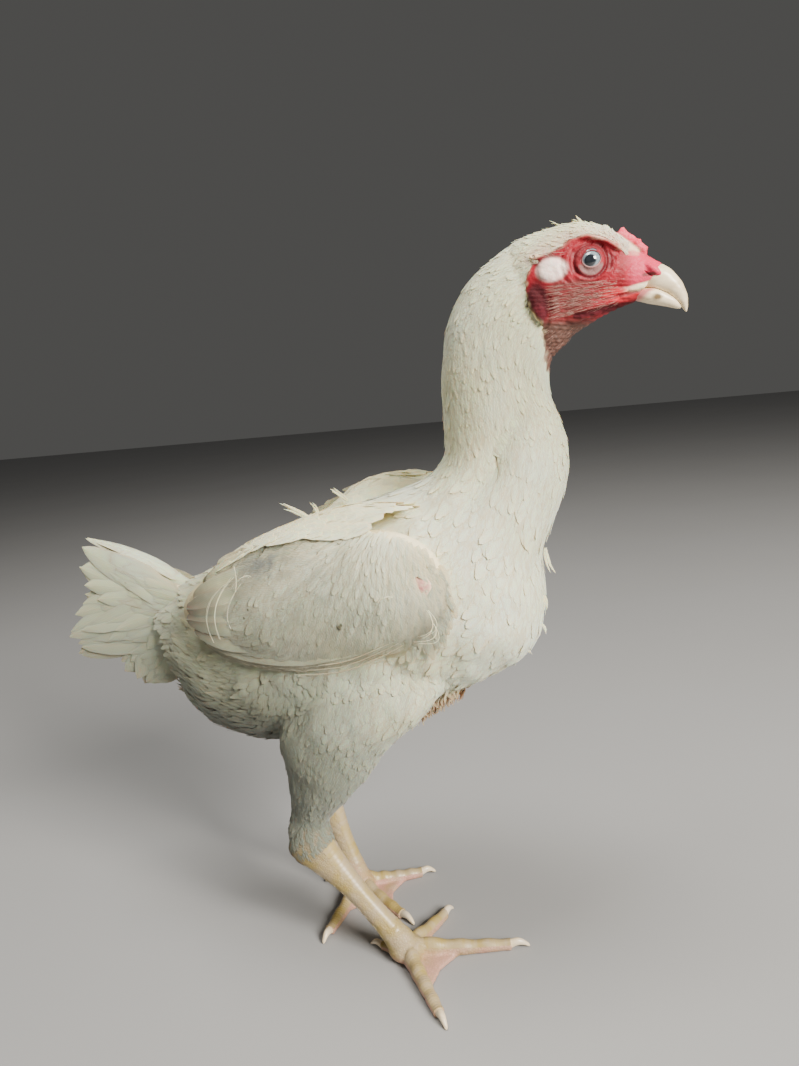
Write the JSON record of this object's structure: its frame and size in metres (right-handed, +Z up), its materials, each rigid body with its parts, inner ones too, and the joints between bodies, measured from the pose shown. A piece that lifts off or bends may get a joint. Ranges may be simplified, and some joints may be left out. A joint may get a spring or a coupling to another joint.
{
  "type": "shamo chicken",
  "caption": "Life-size still model of a young white game hen standing upright, with bare red face, pea comb, folded wings and scaled legs.",
  "frame": {"origin": "on the floor under the middle of the bounding box, between the two feet", "axes": "+X towards the beak, +Y towards the bird's left side, +Z up"},
  "size_m": [0.4082, 0.1676, 0.4345],
  "materials": {
    "plumage": "cream-white feathers",
    "face_skin": "bare red wrinkled skin",
    "comb_skin": "bumpy red comb",
    "ear_lobe_skin": "pale pink skin",
    "horn": "ivory horn",
    "eye": "wet grey-blue eye",
    "leg_scales": "ivory-yellow scales",
    "claw": "pale horn"
  },
  "bodies": {
    "root": {"torso": "plumage", "neck": "plumage", "head": "face_skin", "beak_upper": "horn", "beak_lower": "horn", "comb": "comb_skin", "ear_lobe_R": "ear_lobe_skin", "ear_lobe_L": "ear_lobe_skin", "eye_R": "eye", "eye_L": "eye", "wing_R": "plumage", "wing_L": "plumage", "tail": "plumage", "thigh_R": "plumage", "thigh_L": "plumage", "shank_R": "leg_scales", "shank_L": "leg_scales", "foot_R": "leg_scales", "foot_L": "leg_scales", "claw_inner_R": "claw", "claw_middle_R": "claw", "claw_outer_R": "claw", "claw_hind_R": "claw", "claw_inner_L": "claw", "claw_middle_L": "claw", "claw_outer_L": "claw", "claw_hind_L": "claw"}
  },
  "joints": []
}
